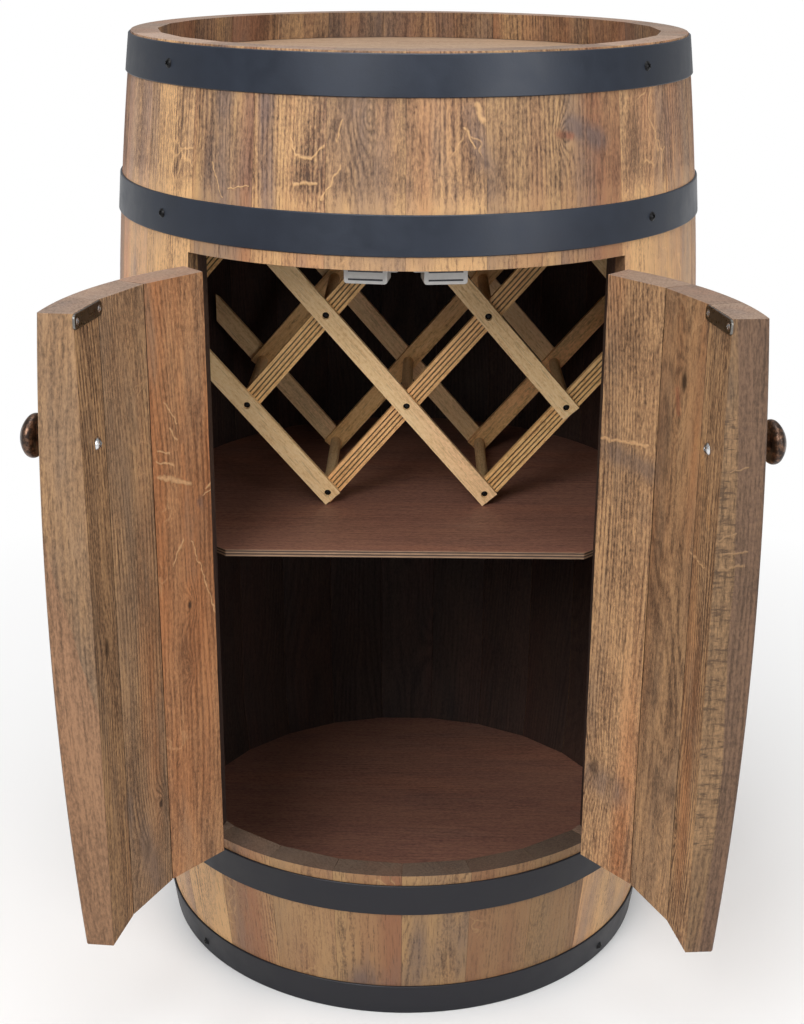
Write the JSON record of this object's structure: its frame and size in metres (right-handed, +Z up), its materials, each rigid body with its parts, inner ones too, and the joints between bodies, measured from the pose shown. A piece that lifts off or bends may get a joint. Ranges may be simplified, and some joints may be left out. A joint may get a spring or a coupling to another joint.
{
  "type": "barrel bar cabinet",
  "caption": "Upright wooden barrel bar cabinet with steel hoops, a pair of curved doors on butt hinges, magnetic catches, a shelf and a diagonal bottle lattice.",
  "frame": {"origin": "centre of the barrel's footprint, on the floor", "axes": "+Z up along the barrel's axis, -Y the front with the doors, +X the right-hand side seen from the front"},
  "size_m": [0.5354, 0.6124, 0.81],
  "materials": {
    "stave_wood": "stained and brushed, satin",
    "head_wood": "dark stained, satin",
    "shelf_wood": "dark red-brown stained plywood, satin",
    "rack_pine": "clear satin",
    "hoop_steel": "dark slate satin",
    "black_screw": "black satin",
    "catch_plastic": "light grey, matt",
    "pole_steel": "dull steel",
    "ferrite": "sintered ferrite, matt",
    "knob_bronze": "antique bronze, dark satin",
    "strike_steel": "gunmetal, satin",
    "zinc_screw": "bright zinc",
    "hinge_steel": "antique brass plated"
  },
  "bodies": {
    "cabinet": {"bottom_head": "head_wood", "catch_body_left": "catch_plastic", "catch_body_right": "catch_plastic", "catch_magnets": "ferrite", "catch_pole_plates": "pole_steel", "catch_screws": "zinc_screw", "header_staves": "stave_wood", "hinge_frame_leaves": "hinge_steel", "hinge_frame_screws": "hinge_steel", "hinge_pins": "hinge_steel", "hoop_bottom": "hoop_steel", "hoop_lower": "hoop_steel", "hoop_screws": "black_screw", "hoop_top": "hoop_steel", "hoop_upper": "hoop_steel", "rack_back_falling_slats": "rack_pine", "rack_back_rising_slats": "rack_pine", "rack_dowels": "rack_pine", "rack_front_falling_slats": "rack_pine", "rack_front_rising_slats": "rack_pine", "rack_screws": "black_screw", "shelf": "shelf_wood", "shelf_cleats": "shelf_wood", "sill_staves": "stave_wood", "stave_01": "stave_wood", "stave_02": "stave_wood", "stave_03": "stave_wood", "stave_04": "stave_wood", "stave_05": "stave_wood", "stave_06": "stave_wood", "stave_07": "stave_wood", "stave_08": "stave_wood", "stave_09": "stave_wood", "stave_10": "stave_wood", "stave_11": "stave_wood", "stave_12": "stave_wood", "stave_13": "stave_wood", "stave_14": "stave_wood", "stave_15": "stave_wood", "stave_16": "stave_wood", "stave_17": "stave_wood", "stave_18": "stave_wood", "stave_19": "stave_wood", "top_head": "head_wood"},
    "door_left": {"door_left_hinge_leaves": "hinge_steel", "door_left_knob": "knob_bronze", "door_left_knob_bolt": "zinc_screw", "door_left_screws": "zinc_screw", "door_left_stave_1": "stave_wood", "door_left_stave_2": "stave_wood", "door_left_stave_3": "stave_wood", "door_left_strike_plate": "strike_steel"},
    "door_right": {"door_right_hinge_leaves": "hinge_steel", "door_right_knob": "knob_bronze", "door_right_knob_bolt": "zinc_screw", "door_right_screws": "zinc_screw", "door_right_stave_1": "stave_wood", "door_right_stave_2": "stave_wood", "door_right_stave_3": "stave_wood", "door_right_strike_plate": "strike_steel"}
  },
  "joints": [
    {"name": "door_left_hinge", "type": "hinge", "parent": "cabinet", "child": "door_left", "pos_m": [-0.17247, -0.19054, 0.405], "axis": [0, 0, 1], "range_deg": [-74.2, 95.8]},
    {"name": "door_right_hinge", "type": "hinge", "parent": "cabinet", "child": "door_right", "pos_m": [0.17247, -0.19054, 0.405], "axis": [0, 0, 1], "range_deg": [-95.2, 74.8]}
  ]
}
